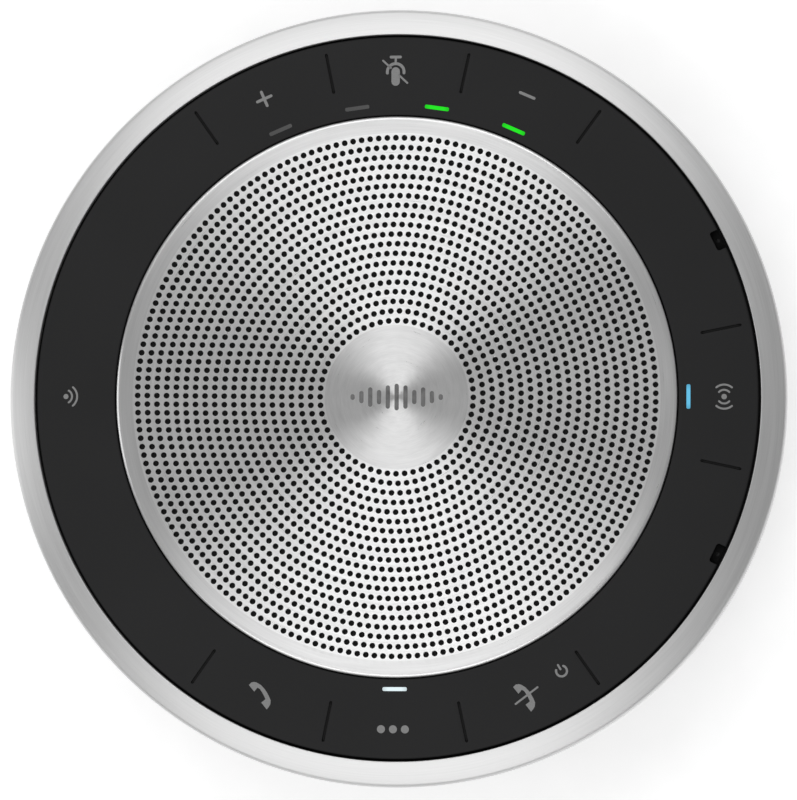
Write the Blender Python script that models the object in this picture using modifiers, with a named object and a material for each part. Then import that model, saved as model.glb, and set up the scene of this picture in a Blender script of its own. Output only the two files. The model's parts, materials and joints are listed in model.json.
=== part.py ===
"""Conference speakerphone: a low round desk unit with a dished metal grille, a ring of keys and a metal rim.

The script is written in millimetres and scaled to metres as each shape is made. +Z is up, the origin is the
centre of the table surface under the unit, +X points at the wireless key and +Y at the mute key. Shapes that are
turned about Z are given as (radius, height) outlines.
"""

import bmesh
import bpy
from math import cos, degrees, pi, radians, sin
from mathutils import Matrix, Vector

MM = 0.001
UP = (0, 0, 1)

# Driving dimensions, in millimetres
OUTER_RADIUS = 60.0
HEIGHT = 33.0
GAP = 0.3  # between fixed pieces that touch on the real unit
SEAT = 0.1  # between flat faces that rest on each other

# Grille: a shallow dish with a turned-down rim
GRILLE_RADIUS = 43.2
DISH_DEPTH = 2.0
GRILLE_THICKNESS = 0.7
GRILLE_RIM_BOTTOM = 30.5
CLOTH_THICKNESS = 0.3

# Control ring: the black ring between the grille and the metal rim
RING_INNER, RING_OUTER = 43.6, 55.6
RING_TOP_INNER, RING_TOP_OUTER = 32.8, 31.8
RING_CROWN = 0.12
SKIN = 1.5  # thickness of the caps and of the ring's top
DECK_BOTTOM, DECK_TOP = 27.8, 28.8
DECK_INNER, DECK_OUTER = 42.8, 58.5

# Keys, each a sector of the ring
KEY_WIDTH = 23.6  # degrees, from groove to groove
KEY_TRAVEL = 0.4
KEY_BOTTOM = DECK_TOP + KEY_TRAVEL + SEAT
FLANGE_TOP = 30.0
KEY_INNER, KEY_OUTER = 47.8, 54.1  # centres of the parting lines
KEY_CLEARANCE = 0.15  # on each side of a parting line
FLANGE_REACH = 0.6
KEY_ANGLES = {
    "volume_up": 113.6,
    "mute": 90.0,
    "volume_down": 66.4,
    "wireless": 0.0,
    "answer": 246.4,
    "menu": 270.0,
    "end_call": 293.6,
}
KEY_ZONES = ((90.0, 3), (270.0, 3), (0.0, 1))  # centre angle and how many keys lie side by side
PLUNGER_RING, PLUNGER_RADIUS = 50.6, 1.2

# Light windows, each at its angle
WINDOW_RING = 44.9
WINDOW_LENGTH, WINDOW_WIDTH = 3.8, 0.7
LAMP_WIDTH = 1.2
WINDOW_STEP = KEY_WIDTH * 2 / 3
WINDOWS = {
    "volume_up": 90 + 1.5 * WINDOW_STEP,
    "mute_left": 90 + 0.5 * WINDOW_STEP,
    "mute_right": 90 - 0.5 * WINDOW_STEP,
    "volume_down": 90 - 1.5 * WINDOW_STEP,
    "wireless": 0.0,
    "menu": 270.0,
}

# Microphone slots in the outer edge of the ring
MIC_ANGLES = {"rear": 26.0, "front": -26.0}
MIC_SLOT_INNER, MIC_SLOT_WIDTH, MIC_SLOT_FLOOR = 54.15, 3.1, 29.6
MIC_PORT_RING = 54.9

# Metal rim
RIM_INNER, RIM_INNER_TOP = 56.0, 31.86
RIM_FILLET, RIM_EQUATOR = 0.9, 29.9
RIM_SLOPE = radians(18.1)
RIM_BOTTOM = 25.4

# Lower housing: a bowl whose side is a quarter of an ellipse
BOWL_TOP, BOWL_TOP_RADIUS = 25.1, 59.7
FLOOR_BOTTOM, FLOOR_TOP, FLOOR_RADIUS = 1.0, 3.0, 43.0
BOWL_WALL = 2.2
FOOT_INNER, FOOT_OUTER, FOOT_TOP = 35.0, 41.0, 1.6

# Screws that hold the housing to the chassis
BOSS_RING, BOSS_RADIUS, BOSS_TOP = 38.0, 3.4, 23.6
BOSS_ANGLES = (45, 135, 225, 315)
SHOULDER_RADIUS = 4.6
HEAD_SEAT = 15.9

# Boards
BOARD_BOTTOM, BOARD_TOP = 9.0, 10.2
BOARD_INNER, BOARD_OUTER = 18.0, 45.0
SWITCH_BOARD_BOTTOM, SWITCH_BOARD_TOP = 25.5, 26.5
SWITCH_BOARD_INNER, SWITCH_BOARD_OUTER = 44.0, 55.6
DOME_HEIGHT, DOME_RADIUS = 0.4, 2.3

# USB-C port, in the side towards +Y
PORT_LAND = 54.2
PORT_HEIGHT = 12.0
RECEPTACLE = (8.94, 7.4, 3.26)

# Loudspeaker
DRIVER_RADIUS = 32.0
DRIVER_TOP = 24.4
DRIVER_SCREW_RING = 29.8

FINE, MEDIUM, COARSE = 40, 24, 12  # facets of large, middle and small round pieces


def clear_scene():
    for obj in list(bpy.data.objects):
        bpy.data.objects.remove(obj, do_unlink=True)


def new_collection(name):
    collection = bpy.data.collections.new(name)
    bpy.context.scene.collection.children.link(collection)
    return collection


def new_material(name, colour, roughness, metallic=0.0):
    material = bpy.data.materials.new(name)
    material.use_nodes = True
    shader = material.node_tree.nodes["Principled BSDF"]
    shader.inputs["Base Color"].default_value = (*colour, 1.0)
    shader.inputs["Roughness"].default_value = roughness
    shader.inputs["Metallic"].default_value = metallic
    return material


clear_scene()
PARTS = new_collection("conference_speakerphone")
CUTTERS = new_collection("cutters")
MATERIALS = {
    "brushed_metal": new_material("brushed_metal", (0.78, 0.78, 0.78), 0.35, 1.0),
    "soft_touch_black": new_material("soft_touch_black", (0.026, 0.026, 0.027), 0.55),
    "housing_black": new_material("housing_black", (0.02, 0.02, 0.022), 0.45),
    "inner_plastic": new_material("inner_plastic", (0.04, 0.04, 0.045), 0.6),
    "light_window": new_material("light_window", (0.14, 0.14, 0.14), 0.4),
    "rubber": new_material("rubber", (0.025, 0.025, 0.025), 0.8),
    "acoustic_cloth": new_material("acoustic_cloth", (0.012, 0.012, 0.012), 0.95),
    "steel": new_material("steel", (0.6, 0.6, 0.62), 0.3, 1.0),
    "magnet": new_material("magnet", (0.55, 0.55, 0.56), 0.25, 1.0),
    "copper": new_material("copper", (0.72, 0.36, 0.2), 0.35, 1.0),
    "cone_paper": new_material("cone_paper", (0.03, 0.03, 0.032), 0.8),
    "board": new_material("board", (0.02, 0.12, 0.05), 0.4),
    "battery_wrap": new_material("battery_wrap", (0.45, 0.47, 0.5), 0.35, 0.6),
    "shield": new_material("shield", (0.7, 0.7, 0.7), 0.3, 1.0),
}


# ---------------------------------------------------------------- modelling helpers


def add_object(name, mesh, material=None):
    """Links a mesh as a part, or as a hidden cutter when it has no material."""
    obj = bpy.data.objects.new(name, mesh)
    if material:
        mesh.materials.append(MATERIALS[material])
        PARTS.objects.link(obj)
    else:
        CUTTERS.objects.link(obj)
        obj.hide_render = True
        obj.display_type = "WIRE"
    return obj


def smooth(obj, angle=35):
    obj.data.shade_smooth()
    obj.data.set_sharp_from_angle(angle=radians(angle))
    return obj


def runs_down_outside(profile):
    """The outline with its outer side running from top to bottom, as Screw needs it."""
    pairs = zip(profile, profile[1:] + profile[:1])
    area = sum(r1 * z2 - r2 * z1 for (r1, z1), (r2, z2) in pairs)
    return profile if area < 0 else profile[::-1]


def turned(name, profile, facets, material=None):
    """A solid of revolution about Z from a closed (radius, height) outline."""
    profile = runs_down_outside(list(profile))
    mesh = bpy.data.meshes.new(name)
    count = len(profile)
    edges = [(i, (i + 1) % count) for i in range(count)]
    edges = [(i, j) for i, j in edges if profile[i][0] > 0 or profile[j][0] > 0]
    mesh.from_pydata([(r * MM, 0, z * MM) for r, z in profile], edges, [])
    obj = add_object(name, mesh, material)
    screw = obj.modifiers.new("turn", "SCREW")
    screw.axis = "Z"
    screw.angle = 2 * pi
    screw.steps = screw.render_steps = facets
    screw.use_merge_vertices = True
    screw.merge_threshold = 0.00001
    screw.use_smooth_shade = False
    return obj


def sector(name, profile, centre, width, steps, material=None):
    """A closed (radius, height) outline swept about Z through width degrees, centred on an angle."""
    bm = bmesh.new()
    start = Matrix.Rotation(radians(centre - width / 2), 4, "Z")
    verts = [bm.verts.new(start @ Vector((r * MM, 0, z * MM))) for r, z in profile]
    face = bm.faces.new(verts)
    outline = [face, *face.edges, *verts]
    bmesh.ops.spin(bm, geom=outline, axis=UP, cent=(0, 0, 0), angle=radians(width), steps=steps)
    bmesh.ops.recalc_face_normals(bm, faces=bm.faces)
    return from_bmesh(name, bm, material)


def from_bmesh(name, bm, material=None):
    mesh = bpy.data.meshes.new(name)
    bm.to_mesh(mesh)
    bm.free()
    return add_object(name, mesh, material)


def rod(name, radius, bottom, top, place=(0, 0), facets=COARSE, material=None):
    """An upright cylinder between two heights."""
    bm = bmesh.new()
    bmesh.ops.create_cone(
        bm, cap_ends=True, segments=facets, radius1=radius * MM, radius2=radius * MM, depth=(top - bottom) * MM
    )
    obj = from_bmesh(name, bm, material)
    obj.location = (place[0] * MM, place[1] * MM, (bottom + top) / 2 * MM)
    return obj


def block(name, low, high, turn=0.0, bevel=0.0, material=None):
    """A box between two corners, then turned about Z through an angle in degrees."""
    bm = bmesh.new()
    size = [(b - a) * MM for a, b in zip(low, high)]
    centre = [(a + b) / 2 * MM for a, b in zip(low, high)]
    bmesh.ops.create_cube(bm, size=1.0, matrix=Matrix.Translation(centre) @ Matrix.Diagonal((*size, 1)))
    obj = from_bmesh(name, bm, material)
    obj.rotation_euler.z = radians(turn)
    if bevel:
        rounding = obj.modifiers.new("rounding", "BEVEL")
        rounding.width = bevel * MM
        rounding.segments = 2
    return obj


def combine(obj, other, operation):
    boolean = obj.modifiers.new(other.name, "BOOLEAN")
    boolean.operation = operation
    boolean.object = other
    return obj


def cut(obj, *cutters):
    for cutter in cutters:
        combine(obj, cutter, "DIFFERENCE")
    return obj


def join(obj, *others):
    for other in others:
        combine(obj, other, "UNION")
    return obj


def around(ring, angle):
    """(x, y) at an angle in degrees on a circle about the centre."""
    return ring * cos(radians(angle)), ring * sin(radians(angle))


# ---------------------------------------------------------------- heights of the curved surfaces


def dish_height(radius):
    """Top of the grille."""
    return HEIGHT - DISH_DEPTH + DISH_DEPTH * (radius / GRILLE_RADIUS) ** 2


def ring_height(radius):
    """Top of the control ring and its keys: a cone with a slight crown."""
    share = (radius - RING_INNER) / (RING_OUTER - RING_INNER)
    return RING_TOP_INNER + (RING_TOP_OUTER - RING_TOP_INNER) * share + 4 * RING_CROWN * share * (1 - share)


def ring_top(inner, outer, drop=0.0, points=4):
    """Points along the ring's top between two radii, outermost first."""
    steps = [outer + (inner - outer) * i / (points - 1) for i in range(points)]
    return [(r, ring_height(r) - drop) for r in steps]


def bowl(top_radius, top, floor_radius, floor, points=7):
    """The quarter ellipse of the housing's side, from the top down to the floor."""
    outline = []
    for i in range(points):
        angle = pi / 2 * i / (points - 1)
        radius = floor_radius + (top_radius - floor_radius) * cos(angle)
        outline.append((radius, top + (floor - top) * sin(angle)))
    return outline


# ---------------------------------------------------------------- top side


def make_rim():
    """Metal rim: a cone-shaped top, a rounded edge and a side wall, stepped inside to clear the ring's deck."""
    steps = 4
    centre = OUTER_RADIUS - RIM_FILLET
    edge = []
    for i in range(steps + 1):
        angle = (pi / 2 - RIM_SLOPE) * i / steps
        edge.append((centre + RIM_FILLET * cos(angle), RIM_EQUATOR + RIM_FILLET * sin(angle)))
    profile = [
        (RIM_INNER, GRILLE_RIM_BOTTOM),
        (57.0, GRILLE_RIM_BOTTOM),
        (57.0, 29.0),
        (58.9, 29.0),
        (58.9, RIM_BOTTOM),
        (OUTER_RADIUS, RIM_BOTTOM),
        *edge,
        (RIM_INNER, RIM_INNER_TOP),
    ]
    return smooth(turned("metal_rim", profile, FINE, "brushed_metal"))


def make_grille():
    """Grille dish with its rim turned down. The holes are too many for this model and are left out."""
    edge = 0.4
    rings = [GRILLE_RADIUS - edge, 33.0, 22.0, 11.0, 0.0]
    top = [(r, dish_height(r)) for r in rings]
    wall = GRILLE_RADIUS - GRILLE_THICKNESS
    under = [(r, dish_height(r) - GRILLE_THICKNESS) for r in (0.0, 11.0, 22.0, 33.0, wall)]
    profile = [
        (GRILLE_RADIUS, GRILLE_RIM_BOTTOM),
        (GRILLE_RADIUS, HEIGHT - edge),
        *top,
        *under,
        (wall, GRILLE_RIM_BOTTOM),
    ]
    return smooth(turned("speaker_grille", profile, FINE, "brushed_metal"))


def make_cloth():
    """Acoustic cloth that lies under the grille."""
    rings = (0.0, 11.0, 22.0, 33.0, 42.1)
    drop = GRILLE_THICKNESS + SEAT
    top = [(r, dish_height(r) - drop) for r in rings]
    under = [(r, z - CLOTH_THICKNESS) for r, z in reversed(top)]
    return smooth(turned("grille_cloth", top + under, FINE, "acoustic_cloth"))


def make_control_ring():
    """Fixed part of the black ring: a deck under the keys, and the top that frames them."""
    profile = [
        (DECK_OUTER, DECK_BOTTOM),
        (DECK_OUTER, DECK_TOP),
        (RING_OUTER, DECK_TOP),
        *ring_top(RING_INNER, RING_OUTER),
        (RING_INNER, DECK_TOP),
        (DECK_INNER, DECK_TOP),
        (DECK_INNER, DECK_BOTTOM),
    ]
    ring = turned("control_ring", profile, FINE, "soft_touch_black")
    inner, outer = KEY_INNER - KEY_CLEARANCE, KEY_OUTER + KEY_CLEARANCE
    reach, ceiling = FLANGE_REACH + GAP, FLANGE_TOP + GAP
    opening = [
        (inner - reach, DECK_TOP),
        (outer + reach, DECK_TOP),
        (outer + reach, ceiling),
        (outer, ceiling),
        (outer, HEIGHT),
        (inner, HEIGHT),
        (inner, ceiling),
        (inner - reach, ceiling),
    ]
    side = degrees(2 * KEY_CLEARANCE / KEY_INNER)
    for centre, keys in KEY_ZONES:
        width = keys * KEY_WIDTH + side
        cut(ring, sector(f"key_opening_{centre:.0f}", opening, centre, width, 3 * keys))
    below = DECK_BOTTOM - 1
    pocket = [(45.3, below), (53.6, below), *ring_top(45.3, 53.6, SKIN, 3)]
    for centre, width in ((180.0, 102.0), (33.5, 34.0), (-33.5, 34.0)):
        cut(ring, sector(f"ring_pocket_{centre:.0f}", pocket, centre, width, round(width / 11)))
    for name, angle in KEY_ANGLES.items():
        place = around(PLUNGER_RING, angle)
        cut(ring, rod(f"{name}_plunger_hole", PLUNGER_RADIUS + 0.4, below, DECK_TOP + 0.4, place))
    for name, angle in WINDOWS.items():
        cut(ring, window_bar(f"window_slot_{name}", angle, below, HEIGHT + 1, SEAT))
    half = MIC_SLOT_WIDTH / 2
    for name, angle in MIC_ANGLES.items():
        slot = block(f"mic_slot_{name}", (MIC_SLOT_INNER, -half, MIC_SLOT_FLOOR), (57, half, 34), turn=angle)
        port = rod(f"mic_port_{name}", 0.4, below, MIC_SLOT_FLOOR + 1, around(MIC_PORT_RING, angle), facets=8)
        cut(ring, slot, port)
    return smooth(ring)


def make_key(name, angle):
    """A key cap: a channel-shaped sector with flanges under the ring's top, and a plunger below."""
    inner, outer = KEY_INNER + KEY_CLEARANCE, KEY_OUTER - KEY_CLEARANCE
    wall = 1.3
    profile = [
        (outer + FLANGE_REACH, KEY_BOTTOM),
        (outer + FLANGE_REACH, FLANGE_TOP),
        (outer, FLANGE_TOP),
        *ring_top(inner, outer, points=3),
        (inner, FLANGE_TOP),
        (inner - FLANGE_REACH, FLANGE_TOP),
        (inner - FLANGE_REACH, KEY_BOTTOM),
        (inner + wall, KEY_BOTTOM),
        (inner + wall, ring_height(inner + wall) - SKIN),
        (outer - wall, ring_height(outer - wall) - SKIN),
        (outer - wall, KEY_BOTTOM),
    ]
    width = KEY_WIDTH - degrees(2 * KEY_CLEARANCE / KEY_INNER)
    key = sector(f"{name}_key", profile, angle, width, 3, "soft_touch_black")
    dome_top = SWITCH_BOARD_TOP + SEAT + DOME_HEIGHT
    top = ring_height(PLUNGER_RING) - SKIN / 2
    join(key, rod(f"{name}_plunger", PLUNGER_RADIUS, dome_top + SEAT, top, around(PLUNGER_RING, angle)))
    return smooth(key)


def window_bar(name, angle, bottom, top, margin=0.0, material=None):
    """A bar of the light windows' outline between two heights."""
    radial = WINDOW_WIDTH / 2 + margin
    along = WINDOW_LENGTH / 2 + margin
    low = (WINDOW_RING - radial, -along, bottom)
    high = (WINDOW_RING + radial, along, top)
    return block(name, low, high, turn=angle, material=material)


def make_dome(name, angle):
    """A snap dome: the key's spring and contact."""
    shape = ((0.0, 1.0), (0.5, 0.82), (0.88, 0.3), (1.0, 0.0), (0.0, 0.0))
    profile = [(DOME_RADIUS * r, DOME_HEIGHT * z) for r, z in shape]
    dome = turned(f"{name}_dome", profile, 12, "steel")
    dome.location = (*[c * MM for c in around(PLUNGER_RING, angle)], (SWITCH_BOARD_TOP + SEAT) * MM)
    return smooth(dome)


def make_microphone(name, angle):
    """A microphone under its slot, and the rubber boot that leads sound to it."""
    half = MIC_SLOT_WIDTH / 2 - SEAT
    low = (MIC_SLOT_INNER + SEAT, -half, MIC_SLOT_FLOOR + SEAT)
    high = (RING_OUTER - SEAT, half, ring_height(MIC_PORT_RING) - 1.1)
    boot = block(f"mic_boot_{name}", low, high, turn=angle, material="rubber")
    port = rod(f"boot_port_{name}", 0.35, 29.0, 32.0, around(MIC_PORT_RING, angle), facets=8)
    cut(boot, port)
    low = (53.0, -1.75, SWITCH_BOARD_TOP + SEAT)
    high = (55.5, 1.75, SWITCH_BOARD_TOP + 1.1)
    block(f"microphone_{name}", low, high, turn=angle, material="shield")


def make_switch_board():
    """Ring-shaped board that carries the domes, the lights and the microphones."""
    board = turned(
        "switch_board",
        [
            (SWITCH_BOARD_OUTER, SWITCH_BOARD_BOTTOM),
            (SWITCH_BOARD_OUTER, SWITCH_BOARD_TOP),
            (SWITCH_BOARD_INNER, SWITCH_BOARD_TOP),
            (SWITCH_BOARD_INNER, SWITCH_BOARD_BOTTOM),
        ],
        FINE,
        "board",
    )
    for name, angle in WINDOWS.items():
        top = SWITCH_BOARD_TOP
        inner, outer = WINDOW_RING - LAMP_WIDTH / 2, WINDOW_RING + LAMP_WIDTH / 2
        join(board, block(f"lamp_{name}", (inner, -1.5, top - 0.3), (outer, 1.5, top + 0.7), turn=angle))
    return smooth(board)


def make_tap_antenna():
    """Flat loop antenna stuck under the left of the ring's top, where a phone is tapped."""
    loop_top, loop_bottom = SKIN + SEAT, SKIN + SEAT + 0.3
    profile = [
        (46.0, ring_height(46.0) - loop_bottom),
        (53.0, ring_height(53.0) - loop_bottom),
        (53.0, ring_height(53.0) - loop_top),
        (46.0, ring_height(46.0) - loop_top),
    ]
    loop = sector("tap_antenna", profile, 180, 26, 3, "copper")
    hole = sector("antenna_hole", [(47.7, 28), (51.3, 28), (51.3, 33), (47.7, 33)], 180, 21, 3)
    return cut(loop, hole)


# ---------------------------------------------------------------- chassis and housing


def make_chassis():
    """Inner chassis: a flared mouth over the loudspeaker, a shelf for the switch board, walls for the deck."""
    wall_top = DECK_BOTTOM - SEAT
    shelf = SWITCH_BOARD_BOTTOM - SEAT
    profile = [
        (28.4, 25.1),
        (28.4, 26.2),
        (34.3, 27.8),
        (40.6, 31.5),
        (42.3, 31.5),
        (42.3, wall_top),
        (43.7, wall_top),
        (43.7, shelf),
        (56.1, shelf),
        (56.1, wall_top),
        (58.5, wall_top),
        (58.5, 25.4),
        (57.1, 25.4),
        (57.1, 24.0),
        (40.2, 24.0),
        (40.2, 28.9),
        (33.4, 25.1),
    ]
    chassis = turned("top_chassis", profile, FINE, "inner_plastic")
    for angle in BOSS_ANGLES:
        place = around(BOSS_RING, angle)
        join(chassis, rod(f"chassis_boss_{angle}", 3.2, BOSS_TOP + GAP, 27.9, place))
        cut(chassis, rod(f"pilot_hole_{angle}", 1.25, 23.0, 27.0, place))
        cut(chassis, rod(f"driver_pilot_{angle}", 0.8, 24.0, 26.3, around(DRIVER_SCREW_RING, angle), facets=8))
    cut(chassis, block("flex_slot", (48.2, -5, 22), (49.8, 5, 26), turn=200))
    return smooth(chassis)


def make_housing():
    """Lower housing: a bowl with a flat floor, a groove for the foot ring, screw bosses and the port recess."""
    groove = FOOT_TOP + 0.2
    outside = [
        *bowl(BOWL_TOP_RADIUS, BOWL_TOP, FLOOR_RADIUS, FLOOR_BOTTOM),
        (FOOT_OUTER + GAP, FLOOR_BOTTOM),
        (FOOT_OUTER + GAP, groove),
        (FOOT_INNER - GAP, groove),
        (FOOT_INNER - GAP, FLOOR_BOTTOM),
        (0.0, FLOOR_BOTTOM),
        (0.0, BOWL_TOP),
    ]
    housing = turned("lower_housing", outside, FINE, "housing_black")
    inner_top = BOWL_TOP_RADIUS - BOWL_WALL
    inside = [
        (inner_top, BOWL_TOP + 2),
        *bowl(inner_top, BOWL_TOP, FLOOR_RADIUS - BOWL_WALL + 0.6, FLOOR_TOP),
        (0.0, FLOOR_TOP),
        (0.0, BOWL_TOP + 2),
    ]
    core = turned("housing_core", inside, FINE)
    for angle in BOSS_ANGLES:
        place = around(BOSS_RING, angle)
        cut(
            core,
            rod(f"boss_{angle}", BOSS_RADIUS, 2.0, BOSS_TOP, place),
            rod(f"boss_shoulder_{angle}", SHOULDER_RADIUS, 2.0, BOARD_BOTTOM - SEAT, place),
        )
    cut(core, block("port_block", (-9, PORT_LAND - 2.7, 7.0), (9, 65, 17.6)))
    cut(housing, core)
    for angle in BOSS_ANGLES:
        place = around(BOSS_RING, angle)
        cut(
            housing,
            rod(f"counterbore_{angle}", 2.7, 0.5, HEAD_SEAT, place),
            rod(f"clearance_{angle}", 1.4, 10.0, 25.0, place),
        )
    recess = block("port_recess", (-6.6, PORT_LAND, PORT_HEIGHT - 3.6), (6.6, 65, PORT_HEIGHT + 3.6))
    hole = block("port_hole", (-4.8, 45, PORT_HEIGHT - 1.95), (4.8, 65, PORT_HEIGHT + 1.95))
    cut(housing, recess, hole)
    return smooth(housing, 25)


def make_foot_ring():
    """Rubber ring the unit stands on. It hides the housing's screws."""
    chamfer = 0.4
    profile = [
        (FOOT_OUTER, FOOT_TOP),
        (FOOT_OUTER, chamfer),
        (FOOT_OUTER - chamfer, 0.0),
        (FOOT_INNER + chamfer, 0.0),
        (FOOT_INNER, chamfer),
        (FOOT_INNER, FOOT_TOP),
    ]
    return smooth(turned("foot_ring", profile, FINE, "rubber"), 50)


def make_screw(name, place, head_radius, head, shank_radius, tip):
    """A screw driven from below: head = (bottom, top), then the shank up to its tip, with a hex socket."""
    profile = [
        (head_radius, head[1]),
        (head_radius, head[0]),
        (0.0, head[0]),
        (0.0, tip),
        (shank_radius - 0.3, tip),
        (shank_radius, tip - 0.5),
        (shank_radius, head[1]),
    ]
    screw = turned(name, profile, 12, "steel")
    screw.location = (place[0] * MM, place[1] * MM, 0)
    depth = (head[1] - head[0]) * 0.6
    cut(screw, rod(f"{name}_socket", head_radius * 0.45, head[0] - 1, head[0] + depth, place, facets=6))
    return smooth(screw)


# ---------------------------------------------------------------- boards and battery


def make_main_board():
    """Main board: an annulus round the loudspeaker's motor with a tongue that carries the port."""
    board = turned(
        "main_board",
        [
            (BOARD_OUTER, BOARD_BOTTOM),
            (BOARD_OUTER, BOARD_TOP),
            (BOARD_INNER, BOARD_TOP),
            (BOARD_INNER, BOARD_BOTTOM),
        ],
        MEDIUM,
        "board",
    )
    join(board, block("board_tongue", (-7.5, 40, BOARD_BOTTOM), (7.5, 51.0, BOARD_TOP)))
    for angle in BOSS_ANGLES:
        cut(board, rod(f"board_hole_{angle}", BOSS_RADIUS + GAP, 8, 12, around(BOSS_RING, angle)))
    return smooth(board)


def make_receptacle():
    """USB-C receptacle: a steel shell with its contact tongue inside."""
    width, depth, height = RECEPTACLE
    front = PORT_LAND - 0.2
    low, high = PORT_HEIGHT - height / 2, PORT_HEIGHT + height / 2
    wall = 0.32
    side = width / 2
    shell = block("usb_receptacle", (-side, front - depth, low), (side, front, high), material="steel")
    mouth = block("receptacle_mouth", (wall - side, front - 6.2, low + wall), (side - wall, 65, high - wall))
    cut(shell, mouth)
    blade = PORT_HEIGHT - 0.35, PORT_HEIGHT + 0.35
    tongue = block("receptacle_tongue", (-3.35, front - 6.8, blade[0]), (3.35, front - 1, blade[1]))
    join(shell, tongue)
    return shell


def make_board_parts():
    block("wireless_module", (-35, -9, BOARD_TOP + SEAT), (-23, 9, BOARD_TOP + 2.2), material="shield")
    block("audio_processor", (24, -5, BOARD_TOP + SEAT), (34, 5, BOARD_TOP + 1.2), material="inner_plastic")
    block("battery_pad", (-20, -14, FLOOR_TOP + SEAT), (20, 14, FLOOR_TOP + 0.6), material="rubber")
    low, high = FLOOR_TOP + 0.7, 7.2
    block("battery", (-23, -16, low), (23, 16, high), bevel=1.0, material="battery_wrap")


def make_board_flex():
    """Flat cable that joins the switch board to the main board through a slot in the chassis."""
    half_width, thickness = 4.0, 0.3
    path = [(49.0, SWITCH_BOARD_BOTTOM - SEAT), (49.0, 20.0), (43.3, 14.0), (43.3, BOARD_TOP + SEAT)]
    outer = [(r + thickness, z) for r, z in reversed(path)]
    bm = bmesh.new()
    verts = [bm.verts.new((r * MM, -half_width * MM, z * MM)) for r, z in path + outer]
    face = bm.faces.new(verts)
    swept = bmesh.ops.extrude_face_region(bm, geom=[face])
    moved = [v for v in swept["geom"] if isinstance(v, bmesh.types.BMVert)]
    bmesh.ops.translate(bm, verts=moved, vec=(0, 2 * half_width * MM, 0))
    bmesh.ops.recalc_face_normals(bm, faces=bm.faces)
    flex = from_bmesh("board_flex", bm, "copper")
    flex.rotation_euler.z = radians(200)
    return flex


# ---------------------------------------------------------------- loudspeaker


def make_basket():
    """Loudspeaker frame: a flange, a sloping cage with windows and a ring round the motor."""
    profile = [
        (DRIVER_RADIUS, DRIVER_TOP),
        (DRIVER_RADIUS, 22.9),
        (28.1, 22.6),
        (22.7, 14.4),
        (21.1, 13.0),
        (13.8, 13.0),
        (13.8, 14.2),
        (19.4, 14.2),
        (19.4, 15.3),
        (21.5, 15.3),
        (26.5, 22.4),
        (26.5, 23.2),
        (27.7, 23.2),
        (27.7, DRIVER_TOP),
    ]
    basket = turned("driver_basket", profile, MEDIUM, "inner_plastic")
    for i in range(6):
        cut(basket, block(f"basket_window_{i}", (20, -5, 16.6), (31, 5, 21.4), turn=60 * i + 15))
    for angle in BOSS_ANGLES:
        cut(basket, rod(f"basket_hole_{angle}", 1.1, 22, 25, around(DRIVER_SCREW_RING, angle), facets=8))
    return smooth(basket)


def make_motor():
    """Motor: a steel cup with a magnet disc and a pole plate, and a ring gap for the coil."""
    cup = [(13.5, 7.6), (13.5, 14.0), (11.9, 14.0), (11.9, 9.2), (0.0, 9.2), (0.0, 7.6)]
    smooth(turned("driver_yoke", cup, MEDIUM, "steel"))
    rod("driver_magnet", 9.7, 9.3, 12.2, facets=MEDIUM, material="magnet")
    rod("driver_pole_plate", 10.0, 12.3, 14.0, facets=MEDIUM, material="steel")


def make_gasket():
    low, high = DRIVER_TOP + SEAT, 25.0
    gasket = turned("driver_gasket", [(31.8, high), (31.8, low), (28.5, low), (28.5, high)], MEDIUM, "rubber")
    for angle in BOSS_ANGLES:
        cut(gasket, rod(f"gasket_hole_{angle}", 1.1, 24, 26, around(DRIVER_SCREW_RING, angle), facets=8))
    return smooth(gasket)


def make_surround():
    """Half-roll rubber edge between the cone and the frame."""
    centre, roll, thickness, base = 25.7, 1.7, 0.4, 23.3
    steps = 4
    outer, inner = [], []
    for i in range(steps + 1):
        angle = pi * i / steps
        outer.append((centre + roll * cos(angle), base + thickness + roll * sin(angle)))
        inner.append((centre + (roll - thickness) * cos(angle), base + thickness + (roll - thickness) * sin(angle)))
    profile = [(27.45, base), (27.45, base + thickness), *outer, (23.2, base + thickness), (23.2, base)]
    under = [(r, z) for r, z in reversed(inner)]
    profile += [(centre - roll + thickness, base), *under, (centre + roll - thickness, base)]
    return smooth(turned("driver_surround", profile, MEDIUM, "rubber"), 40)


def make_spider():
    """Corrugated cloth disc that centres the coil."""
    inner, outer, base, wave, thickness = 11.2, 21.2, 15.6, 0.45, 0.35
    steps = 6
    top = []
    for i in range(steps + 1):
        share = i / steps
        lift = wave * (1 if i % 2 else 0)
        top.append((inner + (outer - inner) * share, base + thickness + lift))
    under = [(r, z - thickness) for r, z in reversed(top)]
    return smooth(turned("driver_spider", top + under, MEDIUM, "acoustic_cloth"))


def make_cone():
    """Moving parts: the cone, its dust cap, and the coil on its former."""
    cone = [(11.15, 16.9), (11.15, 17.5), (24.0, 23.1), (25.1, 23.1), (25.1, 22.8), (24.1, 22.6)]
    smooth(turned("driver_cone", cone, MEDIUM, "cone_paper"))
    steps, base, rise, width, thickness = 3, 18.4, 2.2, 12.3, 0.5
    top = [(width * sin(pi / 2 * i / steps), base + rise * cos(pi / 2 * i / steps)) for i in range(steps + 1)]
    inner = [(r * (1 - thickness / width), base + (z - base) * (1 - thickness / rise)) for r, z in reversed(top)]
    smooth(turned("driver_dust_cap", top + inner, MEDIUM, "cone_paper"))
    coil = [
        (10.6, 11.2),
        (11.4, 11.2),
        (11.4, 14.8),
        (10.9, 14.8),
        (10.9, 18.2),
        (10.6, 18.2),
    ]
    smooth(turned("voice_coil", coil, MEDIUM, "copper"))


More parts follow.
